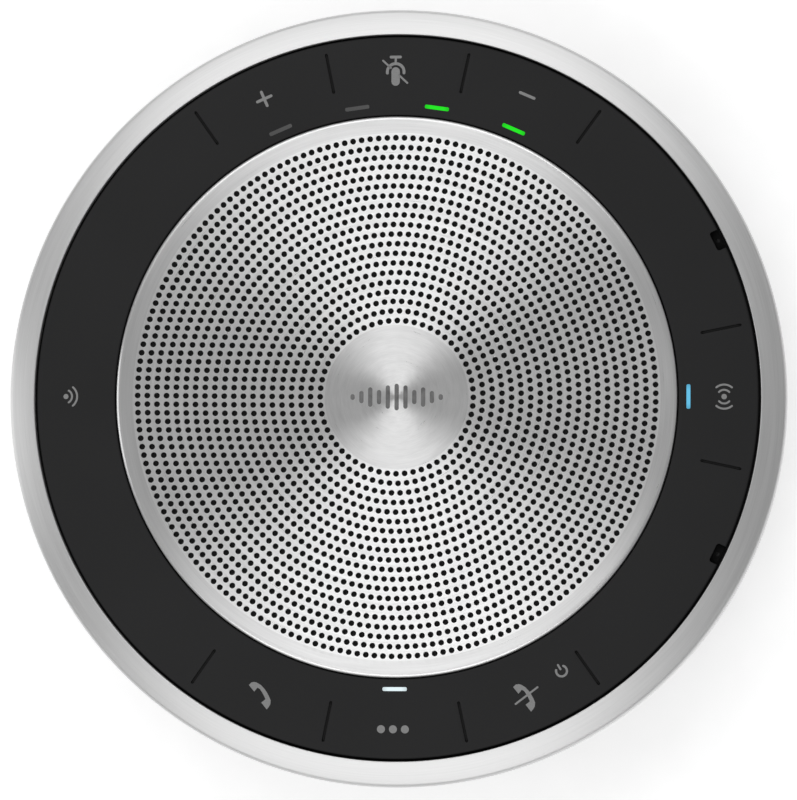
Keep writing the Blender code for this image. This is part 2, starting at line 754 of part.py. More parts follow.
def make_driver():
    make_basket()
    make_motor()
    make_gasket()
    make_surround()
    make_spider()
    make_cone()
    for i, angle in enumerate(BOSS_ANGLES, 1):
        head = (20.9, 22.5)
        make_screw(f"driver_screw_{i}", around(DRIVER_SCREW_RING, angle), 1.7, head, 0.65, 26.0)


# ---------------------------------------------------------------- assembly


def main():
    make_rim()
    make_grille()
    make_cloth()
    make_control_ring()
    for name, angle in KEY_ANGLES.items():
        make_key(name, angle)
        make_dome(name, angle)
    for name, angle in WINDOWS.items():
        top = ring_height(WINDOW_RING)
        window_bar(f"light_window_{name}", angle, DECK_BOTTOM + SEAT, top, material="light_window")
    for name, angle in MIC_ANGLES.items():
        make_microphone(name, angle)
    make_switch_board()
    make_tap_antenna()
    make_chassis()
    make_housing()
    make_foot_ring()
    for i, angle in enumerate(BOSS_ANGLES, 1):
        head = (HEAD_SEAT - 1.9, HEAD_SEAT - SEAT)
        make_screw(f"housing_screw_{i}", around(BOSS_RING, angle), 2.4, head, 1.05, 26.5)
    make_main_board()
    make_receptacle()
    make_board_parts()
    make_board_flex()
    make_driver()


main()
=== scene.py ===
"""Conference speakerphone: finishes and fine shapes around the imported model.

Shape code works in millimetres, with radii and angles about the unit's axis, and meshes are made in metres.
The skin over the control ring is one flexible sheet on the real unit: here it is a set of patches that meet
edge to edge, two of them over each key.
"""

import json
from math import atan2, cos, hypot, pi, radians, sin, sqrt, tan

import bmesh
import bpy
from mathutils import Matrix, Vector
from mathutils.geometry import tessellate_polygon


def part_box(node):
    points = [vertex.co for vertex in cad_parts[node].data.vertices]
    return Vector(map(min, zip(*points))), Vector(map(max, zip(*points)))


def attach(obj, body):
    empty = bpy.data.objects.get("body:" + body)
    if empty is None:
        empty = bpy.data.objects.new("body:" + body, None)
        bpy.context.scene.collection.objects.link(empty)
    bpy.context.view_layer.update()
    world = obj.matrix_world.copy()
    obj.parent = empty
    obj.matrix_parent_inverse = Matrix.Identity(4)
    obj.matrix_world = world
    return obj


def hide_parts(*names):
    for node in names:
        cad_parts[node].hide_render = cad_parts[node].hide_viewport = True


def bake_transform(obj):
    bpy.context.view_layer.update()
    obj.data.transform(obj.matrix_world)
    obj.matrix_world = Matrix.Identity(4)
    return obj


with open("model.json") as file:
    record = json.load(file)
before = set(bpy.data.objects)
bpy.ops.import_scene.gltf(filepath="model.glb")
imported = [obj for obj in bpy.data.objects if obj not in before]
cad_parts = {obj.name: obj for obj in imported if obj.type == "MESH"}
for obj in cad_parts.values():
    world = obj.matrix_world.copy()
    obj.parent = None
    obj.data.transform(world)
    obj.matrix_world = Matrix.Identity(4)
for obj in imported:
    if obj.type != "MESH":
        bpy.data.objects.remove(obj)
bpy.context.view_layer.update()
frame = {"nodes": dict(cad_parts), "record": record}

MM = 0.001

# Sizes in millimetres, from the frame
OUTER_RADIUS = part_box("metal_rim")[1][0] / MM
RIM_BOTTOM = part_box("metal_rim")[0][2] / MM
GRILLE_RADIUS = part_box("speaker_grille")[1][0] / MM
GRILLE_RIM_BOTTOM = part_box("speaker_grille")[0][2] / MM
CHASSIS_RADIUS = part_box("top_chassis")[1][0] / MM
DECK_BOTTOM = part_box("control_ring")[0][2] / MM
BOWL_TOP_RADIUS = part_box("lower_housing")[1][0] / MM
FLOOR_BOTTOM, BOWL_TOP = (corner[2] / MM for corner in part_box("lower_housing"))
FOOT_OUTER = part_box("foot_ring")[1][0] / MM
FOOT_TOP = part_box("foot_ring")[1][2] / MM
PORT_HEIGHT = sum(corner[2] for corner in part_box("usb_receptacle")) / 2 / MM

# Sizes in millimetres that repeat the CAD model's
HEIGHT = 33.0
DISH_DEPTH = 2.0
GRILLE_EDGE, GRILLE_THICKNESS = 0.4, 0.7
CLOTH_RADIUS, CLOTH_THICKNESS = 42.1, 0.3
RING_INNER, RING_OUTER = 43.6, 55.6
RING_TOP_INNER, RING_TOP_OUTER, RING_CROWN = 32.8, 31.8, 0.12
RIM_INNER, RIM_INNER_TOP = 56.0, 31.86
RIM_FILLET, RIM_EQUATOR, RIM_SLOPE = 0.9, 29.9, radians(18.1)
FLOOR_TOP, FLOOR_RADIUS, BOWL_WALL = 3.0, 43.0, 2.2
FOOT_INNER = 35.0
PORT_LAND = 54.2
BOSS_RING, BOSS_ANGLES = 38.0, (45, 135, 225, 315)
BOSS_RADIUS, SHOULDER_RADIUS, COUNTERBORE_RADIUS, CLEARANCE_RADIUS = 3.4, 4.6, 2.7, 1.4
BOSS_TOP, SHOULDER_TOP, COUNTERBORE_TOP = 23.6, 8.9, 15.9

# Skin over the ring, the keys' width in degrees and the grooves between them
SKIN, SKIN_INNER, SKIN_OUTER = 1.2, 43.4, 55.6
KEY_WIDTH = 23.6
GROOVE_INNER, GROOVE_OUTER, GROOVE_WIDTH, GROOVE_DEPTH = 47.75, 54.15, 0.36, 0.24
KEY_ANGLES = {
    "volume_up": 113.6,
    "mute": 90.0,
    "volume_down": 66.4,
    "wireless": 0.0,
    "answer": 246.4,
    "menu": 270.0,
    "end_call": 293.6,
}
FIXED_SECTORS = {"rear_right": (11.8, 54.6), "left": (125.4, 234.6), "front_right": (305.4, 348.2)}
KEY_SPLIT = 50.9  # radius where a key's inner and outer patches meet
INNER_BEND = (46.7, 48.2)  # where the skin bends, from the fixed side to the key
OUTER_BEND = (53.0, 51.6)
ICON_RING = 50.35
MARK_LIFT, MARK_DEPTH = 0.03, 0.15

# Grille holes: rings of holes, each ring with seven holes more than the one inside it
HOLE_RINGS, FIRST_HOLES, MORE_HOLES = 20, 56, 7
FIRST_HOLE_RING, HOLE_PITCH, HOLE_RADIUS = 11.811, 1.4779, 0.46
HOLE_CLOCKING = radians(-0.23)
HOLE_FIELD = (FIRST_HOLE_RING - HOLE_PITCH / 2, FIRST_HOLE_RING + (HOLE_RINGS - 0.5) * HOLE_PITCH)
HOLE_FACETS = 14
SAME_ANGLE = 1e-5  # radians

# Light windows, each with its place in degrees and its state, and the microphone notches
WINDOW_RING, WINDOW_LENGTH, WINDOW_WIDTH = 44.9, 3.75, 0.6
WINDOWS = {
    "volume_up": (113.6, "off"),
    "mute_left": (90 + KEY_WIDTH / 3, "off"),
    "mute_right": (90 - KEY_WIDTH / 3, "green"),
    "volume_down": (66.4, "green"),
    "wireless": (0.0, "blue"),
    "menu": (270.0, "white"),
}
NOTCH_ANGLES = {"rear": 26.0, "front": -26.0}
NOTCH_INNER, NOTCH_WIDTH = 54.15, 3.1

# Camera, in metres, radians and millimetres of lens
CAMERA_DISTANCE, CAMERA_TILT, CAMERA_AZIMUTH, CAMERA_ROLL = 0.9325, 0.0910, -0.6636, -0.0042
CAMERA_LENS, CAMERA_SHIFT = 272.7, (0.0023, -0.00367)


# ---------------------------------------------------------------- camera, lights, floor


def add_camera():
    """Looks down at the grille's centre from a little to the right and front of the axis."""
    target = Vector((0, 0, (HEIGHT - DISH_DEPTH) * MM))
    level, rise = sin(CAMERA_TILT), cos(CAMERA_TILT)
    away = Vector((level * cos(CAMERA_AZIMUTH), level * sin(CAMERA_AZIMUTH), rise))
    right = Vector((0, 1, 0)).cross(away).normalized()
    up = away.cross(right)
    across = right * cos(CAMERA_ROLL) - up * sin(CAMERA_ROLL)
    upward = right * sin(CAMERA_ROLL) + up * cos(CAMERA_ROLL)
    camera = bpy.data.objects.new("camera", bpy.data.cameras.new("camera"))
    facing = Matrix((across, upward, away)).transposed().to_4x4()
    camera.matrix_world = Matrix.Translation(target + away * CAMERA_DISTANCE) @ facing
    camera.data.lens = CAMERA_LENS
    camera.data.shift_x, camera.data.shift_y = CAMERA_SHIFT
    camera.data.clip_end = 10
    bpy.context.scene.collection.objects.link(camera)
    bpy.context.scene.camera = camera


def add_softbox(name, place, size, power):
    """A rectangular light that faces the unit, placed in metres."""
    light = bpy.data.lights.new(name, "AREA")
    light.shape = "RECTANGLE"
    light.size, light.size_y = size
    light.energy = power
    lamp = bpy.data.objects.new(name, light)
    lamp.location = place
    lamp.rotation_euler = Vector(place).to_track_quat("Z", "Y").to_euler()
    bpy.context.scene.collection.objects.link(lamp)


def add_studio():
    """A pale floor, a dim white surround, and softboxes whose mirror images make the fans of light on the metal."""
    world = bpy.data.worlds.new("studio")
    world.use_nodes = True
    world.node_tree.nodes["Background"].inputs["Color"].default_value = (1, 1, 1, 1)
    world.node_tree.nodes["Background"].inputs["Strength"].default_value = 0.33
    bpy.context.scene.world = world
    add_softbox("softbox_rear", (-0.12, 0.74, 1.2), (1.25, 0.85), 5.8)
    add_softbox("softbox_front", (-0.1, -0.74, 1.2), (1.2, 0.85), 5.4)
    add_softbox("softbox_left", (-1.6, 0.0, 0.5), (0.6, 2.4), 4.5)
    bm = bmesh.new()
    bmesh.ops.create_grid(bm, x_segments=1, y_segments=1, size=3.0)
    floor = from_bmesh("floor", bm)
    finish = Finish("floor_paper", (0.9, 0.9, 0.9), 0.9)
    finish.value("Emission Color", (1, 1, 1, 1))
    finish.value("Emission Strength", 0.5)
    grain = finish.noise(180, 4)
    finish.mix_colour(grain, (0.88, 0.88, 0.88), (0.92, 0.92, 0.92))
    paint(floor, finish.material)
    bpy.context.scene.view_settings.view_transform = "Standard"


# ---------------------------------------------------------------- materials


class Finish:
    """A procedural material being put together round one Principled shader."""

    def __init__(self, name, colour, roughness, metallic=0.0):
        self.material = bpy.data.materials.new(name)
        self.material.use_nodes = True
        self.tree = self.material.node_tree
        self.shader = self.tree.nodes["Principled BSDF"]
        self.value("Base Color", (*colour, 1.0))
        self.value("Roughness", roughness)
        self.value("Metallic", metallic)
        self.coordinates = self.tree.nodes.new("ShaderNodeTexCoord").outputs["Object"]

    def value(self, socket, value):
        self.shader.inputs[socket].default_value = value

    def node(self, kind, *inputs, **settings):
        """A new node with its inputs linked or set in order. None leaves an input as it is."""
        node = self.tree.nodes.new("ShaderNode" + kind)
        for key, setting in settings.items():
            setattr(node, key, setting)
        for socket, source in zip(node.inputs, inputs):
            if isinstance(source, bpy.types.NodeSocket):
                self.tree.links.new(source, socket)
            elif source is not None:
                socket.default_value = source
        return node

    def math(self, operation, *inputs):
        return self.node("Math", *inputs, operation=operation).outputs[0]

    def vector(self, operation, *inputs):
        return self.node("VectorMath", *inputs, operation=operation)

    def noise(self, scale, detail=2.0, vector=None):
        node = self.node("TexNoise")
        self.tree.links.new(vector or self.coordinates, node.inputs["Vector"])
        node.inputs["Scale"].default_value = scale
        node.inputs["Detail"].default_value = detail
        return node.outputs["Fac"]

    def remap(self, source, low, high, start=0.3, stop=0.7):
        return self.node("MapRange", source, start, stop, low, high).outputs[0]

    def mix_colour(self, factor, first, second):
        ramp = self.node("ValToRGB", factor)
        ramp.color_ramp.elements[0].position, ramp.color_ramp.elements[1].position = 0.3, 0.7
        ramp.color_ramp.elements[0].color = (*first, 1.0)
        ramp.color_ramp.elements[1].color = (*second, 1.0)
        self.tree.links.new(ramp.outputs["Color"], self.shader.inputs["Base Color"])
        return ramp

    def vary_roughness(self, source, low, high):
        self.tree.links.new(self.remap(source, low, high), self.shader.inputs["Roughness"])

    def bump(self, height, depth, strength=1.0):
        """Bump from a height between 0 and 1, depth deep in millimetres."""
        node = self.node("Bump")
        node.inputs["Strength"].default_value = strength
        node.inputs["Distance"].default_value = depth * MM
        self.tree.links.new(height, node.inputs["Height"])
        self.tree.links.new(node.outputs["Normal"], self.shader.inputs["Normal"])

    def brush_lines(self, fineness, wander=6.0):
        """Noise drawn out along circles about the unit's axis, fineness lines to the millimetre."""
        x, y, z = self.node("SeparateXYZ", self.coordinates).outputs
        flat = self.node("CombineXYZ", x, y, 0.0).outputs[0]
        radius = self.vector("LENGTH", flat).outputs["Value"]
        direction = self.vector("NORMALIZE", flat).outputs["Vector"]
        dx, dy, _ = self.node("SeparateXYZ", direction).outputs
        lines = self.math("MULTIPLY", self.math("ADD", radius, z), fineness / MM)
        place = self.node("CombineXYZ", self.math("MULTIPLY", dx, wander), self.math("MULTIPLY", dy, wander), lines)
        return self.noise(1.0, 2.0, place.outputs[0])


def shade(colour, factor):
    return tuple(min(1.0, c * factor) for c in colour)


def paint(obj, material):
    obj.data.materials.clear()
    obj.data.materials.append(material)
    return obj


def brushed_metal(name, colour, roughness, anisotropy, painted_highlight_radii=None):
    """Metal brushed in circles round the axis, so that light fans out from it. Between the two radii given last
    its colour is painted a little brighter: a painted highlight for the light that falls on the holed field more
    than on the plain band round it."""
    finish = Finish(name, colour, roughness, 1.0)
    finish.value("Anisotropic", anisotropy)
    finish.value("Anisotropic Rotation", 0.25)
    tangent = finish.node("Tangent", direction_type="RADIAL", axis="Z")
    finish.tree.links.new(tangent.outputs[0], finish.shader.inputs["Tangent"])
    fine, coarse = finish.brush_lines(8.0, 5.0), finish.brush_lines(1.6, 2.0)
    lines = finish.math("ADD", finish.math("MULTIPLY", fine, 0.5), finish.math("MULTIPLY", coarse, 0.5))
    ramp = finish.mix_colour(lines, shade(colour, 0.93), shade(colour, 1.06))
    finish.vary_roughness(lines, roughness - 0.03, roughness + 0.03)
    if painted_highlight_radii:
        # Painted highlight: inside these radii the colour is painted 14% brighter than the band round the holes.
        middle, reach = sum(painted_highlight_radii) / 2 * MM, (painted_highlight_radii[1] - painted_highlight_radii[0]) / 2 * MM
        flat = finish.vector("MULTIPLY", finish.coordinates, (1, 1, 0)).outputs["Vector"]
        radius = finish.vector("LENGTH", flat).outputs["Value"]
        inside = finish.math("COMPARE", radius, middle, reach)
        gain = finish.math("MULTIPLY_ADD", inside, 0.14, 1.0)
        lit = finish.vector("SCALE", ramp.outputs["Color"])
        finish.tree.links.new(gain, lit.inputs["Scale"])
        finish.tree.links.new(lit.outputs["Vector"], finish.shader.inputs["Base Color"])
    return finish.material


def moulded(name, colour, roughness, grain=5.0, depth=0.015, spread=0.15, shine=0.5):
    """Moulded plastic or rubber with a fine eroded texture, grain bumps to the millimetre."""
    finish = Finish(name, colour, roughness)
    finish.value("Specular IOR Level", shine)
    texture = finish.noise(grain / MM, 3.0)
    clouds = finish.noise(0.05 / MM, 2.0)
    finish.mix_colour(clouds, shade(colour, 1 - spread), shade(colour, 1 + spread))
    finish.vary_roughness(texture, roughness - 0.06, roughness + 0.06)
    finish.bump(texture, depth, 0.6)
    return finish.material


def woven(name, colour):
    """Cloth woven in two directions, four threads to the millimetre."""
    finish = Finish(name, colour, 0.95)
    waves = []
    for direction in ("X", "Y"):
        wave = finish.node("TexWave", finish.coordinates, bands_direction=direction)
        wave.inputs["Scale"].default_value = 4.0 / MM / 3
        wave.inputs["Distortion"].default_value = 0.6
        waves.append(wave.outputs["Fac"])
    weave = finish.math("MULTIPLY", *waves)
    finish.mix_colour(weave, shade(colour, 0.5), shade(colour, 1.6))
    finish.bump(weave, 0.05)
    return finish.material


def scuffed_metal(name, colour, roughness, grain=1.2):
    """Plated or bare metal with faint stains and scuffs."""
    finish = Finish(name, colour, roughness, 1.0)
    stains = finish.noise(grain / MM, 5.0)
    finish.mix_colour(stains, shade(colour, 0.85), shade(colour, 1.05))
    finish.vary_roughness(stains, roughness - 0.08, roughness + 0.1)
    finish.bump(finish.noise(14 / MM, 2.0), 0.004)
    return finish.material


def circuit_board():
    """Green solder mask with paler tracks."""
    finish = Finish("solder_mask", (0.015, 0.09, 0.035), 0.35)
    tracks = finish.node("TexVoronoi", finish.coordinates, feature="DISTANCE_TO_EDGE")
    tracks.inputs["Scale"].default_value = 0.35 / MM
    edges = finish.remap(tracks.outputs["Distance"], 1.0, 0.0, 0.02, 0.06)
    finish.mix_colour(edges, (0.012, 0.075, 0.03), (0.03, 0.16, 0.06))
    finish.bump(edges, 0.03)
    finish.value("Coat Weight", 0.3)
    return finish.material


def lit_window(name, colour):
    """Diffusing window with a lamp under it: brightest in the middle of its length."""
    finish = Finish(name, shade(colour, 0.02), 0.5)
    finish.value("Specular IOR Level", 0.1)
    y = finish.node("SeparateXYZ", finish.coordinates).outputs[1]
    distance = finish.math("DIVIDE", finish.math("ABSOLUTE", y), WINDOW_LENGTH / 2 * MM)
    glow = finish.node("ValToRGB", distance)
    glow.color_ramp.elements[0].position, glow.color_ramp.elements[1].position = 0.55, 1.0
    glow.color_ramp.elements[0].color = (*colour, 1.0)
    glow.color_ramp.elements[1].color = (*shade(colour, 0.72), 1.0)
    finish.tree.links.new(glow.outputs["Color"], finish.shader.inputs["Emission Color"])
    finish.value("Emission Strength", 1.0)
    return finish.material


def printed_ink(name, colour):
    """Screen-printed ink with a faint speckle."""
    finish = Finish(name, colour, 0.6)
    speckle = finish.noise(6 / MM, 2.0)
    finish.mix_colour(speckle, shade(colour, 0.9), shade(colour, 1.08))
    return finish.material


# ---------------------------------------------------------------- mesh helpers


def add_object(name, mesh):
    obj = bpy.data.objects.new(name, mesh)
    bpy.context.scene.collection.objects.link(obj)
    return obj


def from_bmesh(name, bm):
    mesh = bpy.data.meshes.new(name)
    bm.to_mesh(mesh)
    bm.free()
    return add_object(name, mesh)


def smooth(obj, angle=35):
    """Smooth shading, with edges sharper than angle degrees kept."""
    obj.data.shade_smooth()
    obj.data.set_sharp_from_angle(angle=radians(angle))
    return obj


def finished(obj, material, body="housing"):
    """Paints a piece and lets it ride on a body."""
    paint(obj, material)
    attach(obj, body)
    return obj


def freeze(obj):
    """Turns an object's modifiers into its mesh."""
    evaluated = obj.evaluated_get(bpy.context.evaluated_depsgraph_get())
    mesh = bpy.data.meshes.new_from_object(evaluated)
    obj.modifiers.clear()
    old, obj.data = obj.data, mesh
    bpy.data.meshes.remove(old)
    return obj


def place(radius, angle, height):
    """A point in metres, from millimetres and radians."""
    return Vector((radius * MM * cos(angle), radius * MM * sin(angle), height * MM))


def turned(name, outline, facets):
    """A solid of revolution from a closed (radius, height) outline."""
    bm = bmesh.new()
    rings = []
    for radius, height in outline:
        if radius == 0:
            rings.append([bm.verts.new((0, 0, height * MM))] * facets)
        else:
            turns = (2 * pi * i / facets for i in range(facets))
            rings.append([bm.verts.new(place(radius, turn, height)) for turn in turns])
    for ring, following in zip(rings, rings[1:] + rings[:1]):
        for i in range(facets):
            corners = (ring[i - 1], ring[i], following[i], following[i - 1])
            distinct = list(dict.fromkeys(corners))  # two of them are one on the axis
            if len(distinct) > 2:
                bm.faces.new(distinct)
    bmesh.ops.recalc_face_normals(bm, faces=bm.faces)
    return from_bmesh(name, bm)


def filleted(corners, steps=4):
    """An outline from (radius, height, fillet) corners, each rounded by its fillet."""
    outline = []
    count = len(corners)
    for i, (r, z, fillet) in enumerate(corners):
        point = Vector((r, z))
        if not fillet:
            outline.append((r, z))
            continue
        before = (Vector(corners[i - 1][:2]) - point).normalized()
        after = (Vector(corners[(i + 1) % count][:2]) - point).normalized()
        half = before.angle(after) / 2
        reach = fillet / tan(half)
        centre = point + (before + after).normalized() * (fillet / sin(half))
        first, last = point + before * reach - centre, point + after * reach - centre
        turn = first.angle_signed(last)
        for step in range(steps + 1):
            spoke = first.copy()
            spoke.rotate(Matrix.Rotation(-turn * step / steps, 2))
            outline.append(tuple(centre + spoke))
    return outline


def cut(obj, other):
    """Cuts obj with another shape, which is then used up."""
    boolean = obj.modifiers.new("cut", "BOOLEAN")
    boolean.operation = "DIFFERENCE"
    boolean.object = other
    freeze(obj)
    bpy.data.objects.remove(other)
    return obj


def rounded_block(name, low, high, turn=0.0, bevel=0.0, segments=3, sides_only=False):
    """A block between two corners, turned about the unit's axis by turn degrees, with rounded edges."""
    bm = bmesh.new()
    size = [(b - a) * MM for a, b in zip(low, high)]
    centre = [(a + b) / 2 * MM for a, b in zip(low, high)]
    bmesh.ops.create_cube(bm, size=1.0, matrix=Matrix.Translation(centre) @ Matrix.Diagonal((*size, 1)))
    if bevel:
        upright = [edge for edge in bm.edges if edge.verts[0].co.z != edge.verts[1].co.z]
        edges = upright if sides_only else bm.edges[:]
        bmesh.ops.bevel(bm, geom=edges, offset=bevel * MM, segments=segments, affect="EDGES", profile=0.5)
    bm.transform(Matrix.Rotation(radians(turn), 4, "Z"))
    return from_bmesh(name, bm)


def rod(name, radius, bottom, top, middle):
    """An upright cylinder about a point (x, y)."""
    bm = bmesh.new()
    bmesh.ops.create_cone(
        bm,
        cap_ends=True,
        segments=32,
        radius1=radius * MM,
        radius2=radius * MM,
        depth=(top - bottom) * MM,
        matrix=Matrix.Translation((middle[0] * MM, middle[1] * MM, (bottom + top) / 2 * MM)),
    )
    return from_bmesh(name, bm)


def around(ring, angle):
    """A point (x, y) at a radius and an angle in degrees."""
    return ring * cos(radians(angle)), ring * sin(radians(angle))


def dish_height(radius):
    return HEIGHT - DISH_DEPTH + DISH_DEPTH * (radius / GRILLE_RADIUS) ** 2


def ring_height(radius):
    share = (radius - RING_INNER) / (RING_OUTER - RING_INNER)
    return RING_TOP_INNER + (RING_TOP_OUTER - RING_TOP_INNER) * share + 4 * RING_CROWN * share * (1 - share)


# ---------------------------------------------------------------- grille


def border_angles(ring):
    """Angles of the borders between the hole cells of a ring."""
    count = FIRST_HOLES + MORE_HOLES * ring
    shift = 0.0 if ring % 2 else 0.5
    return [2 * pi * (i + shift) / count + HOLE_CLOCKING for i in range(count)]


def perforated_sheet():
    """The grille's top surface. Each hole sits in a cell bounded by two circles and two spokes."""
    points, faces = [], []

    def add(radius, angle, height=None):
        z = dish_height(radius) if height is None else height
        points.append((radius * cos(angle), radius * sin(angle), z))
        return len(points) - 1

    circles = []
    for border in range(HOLE_RINGS + 1):
        beside = [ring for ring in (border - 1, border) if 0 <= ring < HOLE_RINGS]
        found = [a for ring in beside for a in border_angles(ring)]
        if border == HOLE_RINGS:
            found += [a + pi / len(found) for a in found]
        angles = []
        for angle in sorted(found):
            if not angles or angle - angles[-1] > SAME_ANGLE:
                angles.append(angle)
        radius = FIRST_HOLE_RING + HOLE_PITCH * (border - 0.5)
        circles.append([(a, add(radius, a)) for a in angles])

    for ring in range(HOLE_RINGS):
        radius = FIRST_HOLE_RING + HOLE_PITCH * ring
        borders = border_angles(ring)
        for i, start in enumerate(borders):
            stop = borders[i + 1] if i + 1 < len(borders) else borders[0] + 2 * pi
            inner, outer = (arc(circle, start, stop) for circle in circles[ring : ring + 2])
            middle = (start + stop) / 2
            hole = []
            for step in range(HOLE_FACETS):
                turn = 2 * pi * (step + 0.5) / HOLE_FACETS + middle
                x = radius * cos(middle) + HOLE_RADIUS * cos(turn)
                y = radius * sin(middle) + HOLE_RADIUS * sin(turn)
                hole.append(add(hypot(x, y), atan2(y, x)))
            fill_cell(points, faces, outer + inner[::-1], hole)

    close_centre(add, faces, [v for _, v in circles[0]], [a for a, _ in circles[0]])
    rim = circles[-1]
    previous = [v for _, v in rim]
    crest = GRILLE_RADIUS - GRILLE_EDGE
    for radius, height in (
        (41.4, None),
        (42.2, None),
        (crest - 0.1, None),
        (crest, dish_height(crest) - 0.01),
        (crest + 0.15, HEIGHT - 0.1),
        (GRILLE_RADIUS - 0.1, HEIGHT - 0.2),
        (GRILLE_RADIUS - 0.02, HEIGHT - 0.32),
        (GRILLE_RADIUS, HEIGHT - 0.48),
        (GRILLE_RADIUS, GRILLE_RIM_BOTTOM),
    ):
        current = [add(radius, a, height) for a, _ in rim]
        faces += [(previous[i - 1], current[i - 1], current[i], previous[i]) for i in range(len(rim))]
        previous = current
    return points, faces


def arc(circle, start, stop):
    """Vertices of a circle from one angle up to another."""
    found = [(a, v) for a, v in circle if start - SAME_ANGLE < a < stop + SAME_ANGLE]
    early = circle[: len(circle) // 4]
    found += [(a + 2 * pi, v) for a, v in early if a + 2 * pi < stop + SAME_ANGLE]
    return [v for _, v in sorted(found)]


def fill_cell(points, faces, loop, hole):
    """Triangles between a cell's border and the hole in it, all facing up."""
    corners = loop + hole
    flat = [[Vector((points[v][0], points[v][1], 0)) for v in ring] for ring in (loop, hole)]
    for triangle in tessellate_polygon(flat):
        a, b, c = (corners[i] for i in triangle)
        first, second = (Vector(points[v]).xy - Vector(points[a]).xy for v in (b, c))
        faces.append((a, b, c) if first.cross(second) > 0 else (a, c, b))


def close_centre(add, faces, previous, angles):
    """The plain disc inside the first ring of holes."""
    count = len(angles)
    for radius in (9.4, 7.4, 5.4, 3.4, 1.6):
        current = [add(radius, a) for a in angles]
        faces += [(current[i - 1], previous[i - 1], previous[i], current[i]) for i in range(count)]
        previous = current
    hub = add(0.0, 0.0)
    faces += [(hub, previous[i - 1], previous[i]) for i in range(count)]


def make_grille():
    points, faces = perforated_sheet()
    mesh = bpy.data.meshes.new("grille_sheet")
    mesh.from_pydata([tuple(c * MM for c in p) for p in points], [], faces)
    grille = add_object("grille_sheet", mesh)
    thickness = grille.modifiers.new("thickness", "SOLIDIFY")
    thickness.thickness = GRILLE_THICKNESS * MM
    thickness.offset = -1
    freeze(grille)
    smooth(grille, 30)
    finished(grille, brushed_metal("grille_brushed", (0.8, 0.8, 0.8), 0.3, 0.85, HOLE_FIELD))
    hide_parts("speaker_grille")

    drop = GRILLE_THICKNESS + 0.1
    radii = [CLOTH_RADIUS * i / 12 for i in range(13)]
    top = [(r, dish_height(r) - drop) for r in radii]
    cloth = turned("cloth_disc", top + [(r, z - CLOTH_THICKNESS) for r, z in reversed(top)], 128)
    smooth(cloth)
    finished(cloth, woven("black_cloth", (0.012, 0.012, 0.012)))
    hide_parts("grille_cloth")


def make_centre_mark(material):
    """A plain row of sound bars, as an audio level, in the middle of the disc."""
    heights = (0.9, 1.9, 3.0, 2.2, 3.6, 4.1, 3.6, 2.2, 3.0, 1.9, 0.9)
    pitch, width = 1.36, 0.66
    bm = bmesh.new()
    for i, height in enumerate(heights):
        x = (i - (len(heights) - 1) / 2) * pitch
        reach = height / 2 - width / 2
        bm.faces.new([bm.verts.new((*point, 0)) for point in capsule((x, -reach), (x, reach), width)])
    mark = raised("centre_mark", bm, lambda x, y: dish_height(hypot(x, y)), 0.02)
    finished(mark, material)


# ---------------------------------------------------------------- flat marks


def on_circle(centre, radius, angle):
    return centre[0] + radius * cos(angle), centre[1] + radius * sin(angle)


def sweep(centre, radius, start, stop, steps, skip=0):
    """Points of an arc between two angles in radians, without skip points at each end."""
    angles = (start + (stop - start) * i / steps for i in range(skip, steps + 1 - skip))
    return [on_circle(centre, radius, angle) for angle in angles]


def capsule(start, stop, width):
    """Outline of a stroke with round ends."""
    heading = atan2(stop[1] - start[1], stop[0] - start[0])
    return [
        *sweep(stop, width / 2, heading - pi / 2, heading + pi / 2, 8),
        *sweep(start, width / 2, heading + pi / 2, heading + 3 * pi / 2, 8),
    ]


def band(centre, radius, width, start, stop):
    """Outline of an arc-shaped stroke with round ends, between two angles in degrees."""
    start, stop = radians(start), radians(stop)
    first, last = (on_circle(centre, radius, angle) for angle in (start, stop))
    return [
        *sweep(centre, radius + width / 2, start, stop, 20),
        *sweep(last, width / 2, stop, stop + pi, 6, 1),
        *sweep(centre, radius - width / 2, stop, start, 20),
        *sweep(first, width / 2, start + pi, start + 2 * pi, 6, 1),
    ]


def dot(centre, radius):
    return sweep(centre, radius, 0, 2 * pi, 20)[:-1]


def raised(name, bm, height, lift):
    """Gives flat faces a thickness and lays them lift above a surface given as height(x, y)."""
    bmesh.ops.recalc_face_normals(bm, faces=bm.faces)
    for face in bm.faces:
        if face.normal.z < 0:
            face.normal_flip()
    base = bm.faces[:]
    made = bmesh.ops.extrude_face_region(bm, geom=base)
    tops = {v for v in made["geom"] if isinstance(v, bmesh.types.BMVert)}
    for v in bm.verts:
        v.co.z = height(v.co.x, v.co.y) + (lift if v in tops else -MARK_DEPTH)
    bmesh.ops.recalc_face_normals(bm, faces=bm.faces)
    bmesh.ops.scale(bm, vec=(MM, MM, MM), verts=bm.verts)
    return from_bmesh(name, bm)


# Strokes of the marks, in millimetres about each mark's middle
PLUS = [capsule((-1.15, 0), (1.15, 0), 0.45), capsule((0, -1.15), (0, 1.15), 0.45)]
MINUS = [capsule((-1.15, 0), (1.15, 0), 0.45)]
MUTED = [
    capsule((-0.72, 2.14), (0.72, 2.14), 0.44),
    capsule((0, 2.1), (0, 1.2), 0.34),
    band((0, -0.18), 1.29, 0.45, -8, 188),
    capsule((0, -1.71), (0, -0.1), 1.3),
    capsule((-1.95, 1.58), (-0.75, 0.46), 0.3),
    capsule((0.45, -0.64), (1.8, -1.92), 0.3),
]
DOTS = [dot((-1.84, 0), 0.62), dot((0, 0), 0.62), dot((1.84, 0), 0.62)]
WAVES = [
    dot((0, 0), 0.42),
    band((0, 0), 1.05, 0.3, -48, 48),
    band((0, 0), 1.85, 0.3, -40, 40),
    band((0, 0), 1.05, 0.3, 132, 228),
    band((0, 0), 1.85, 0.3, 140, 220),
]

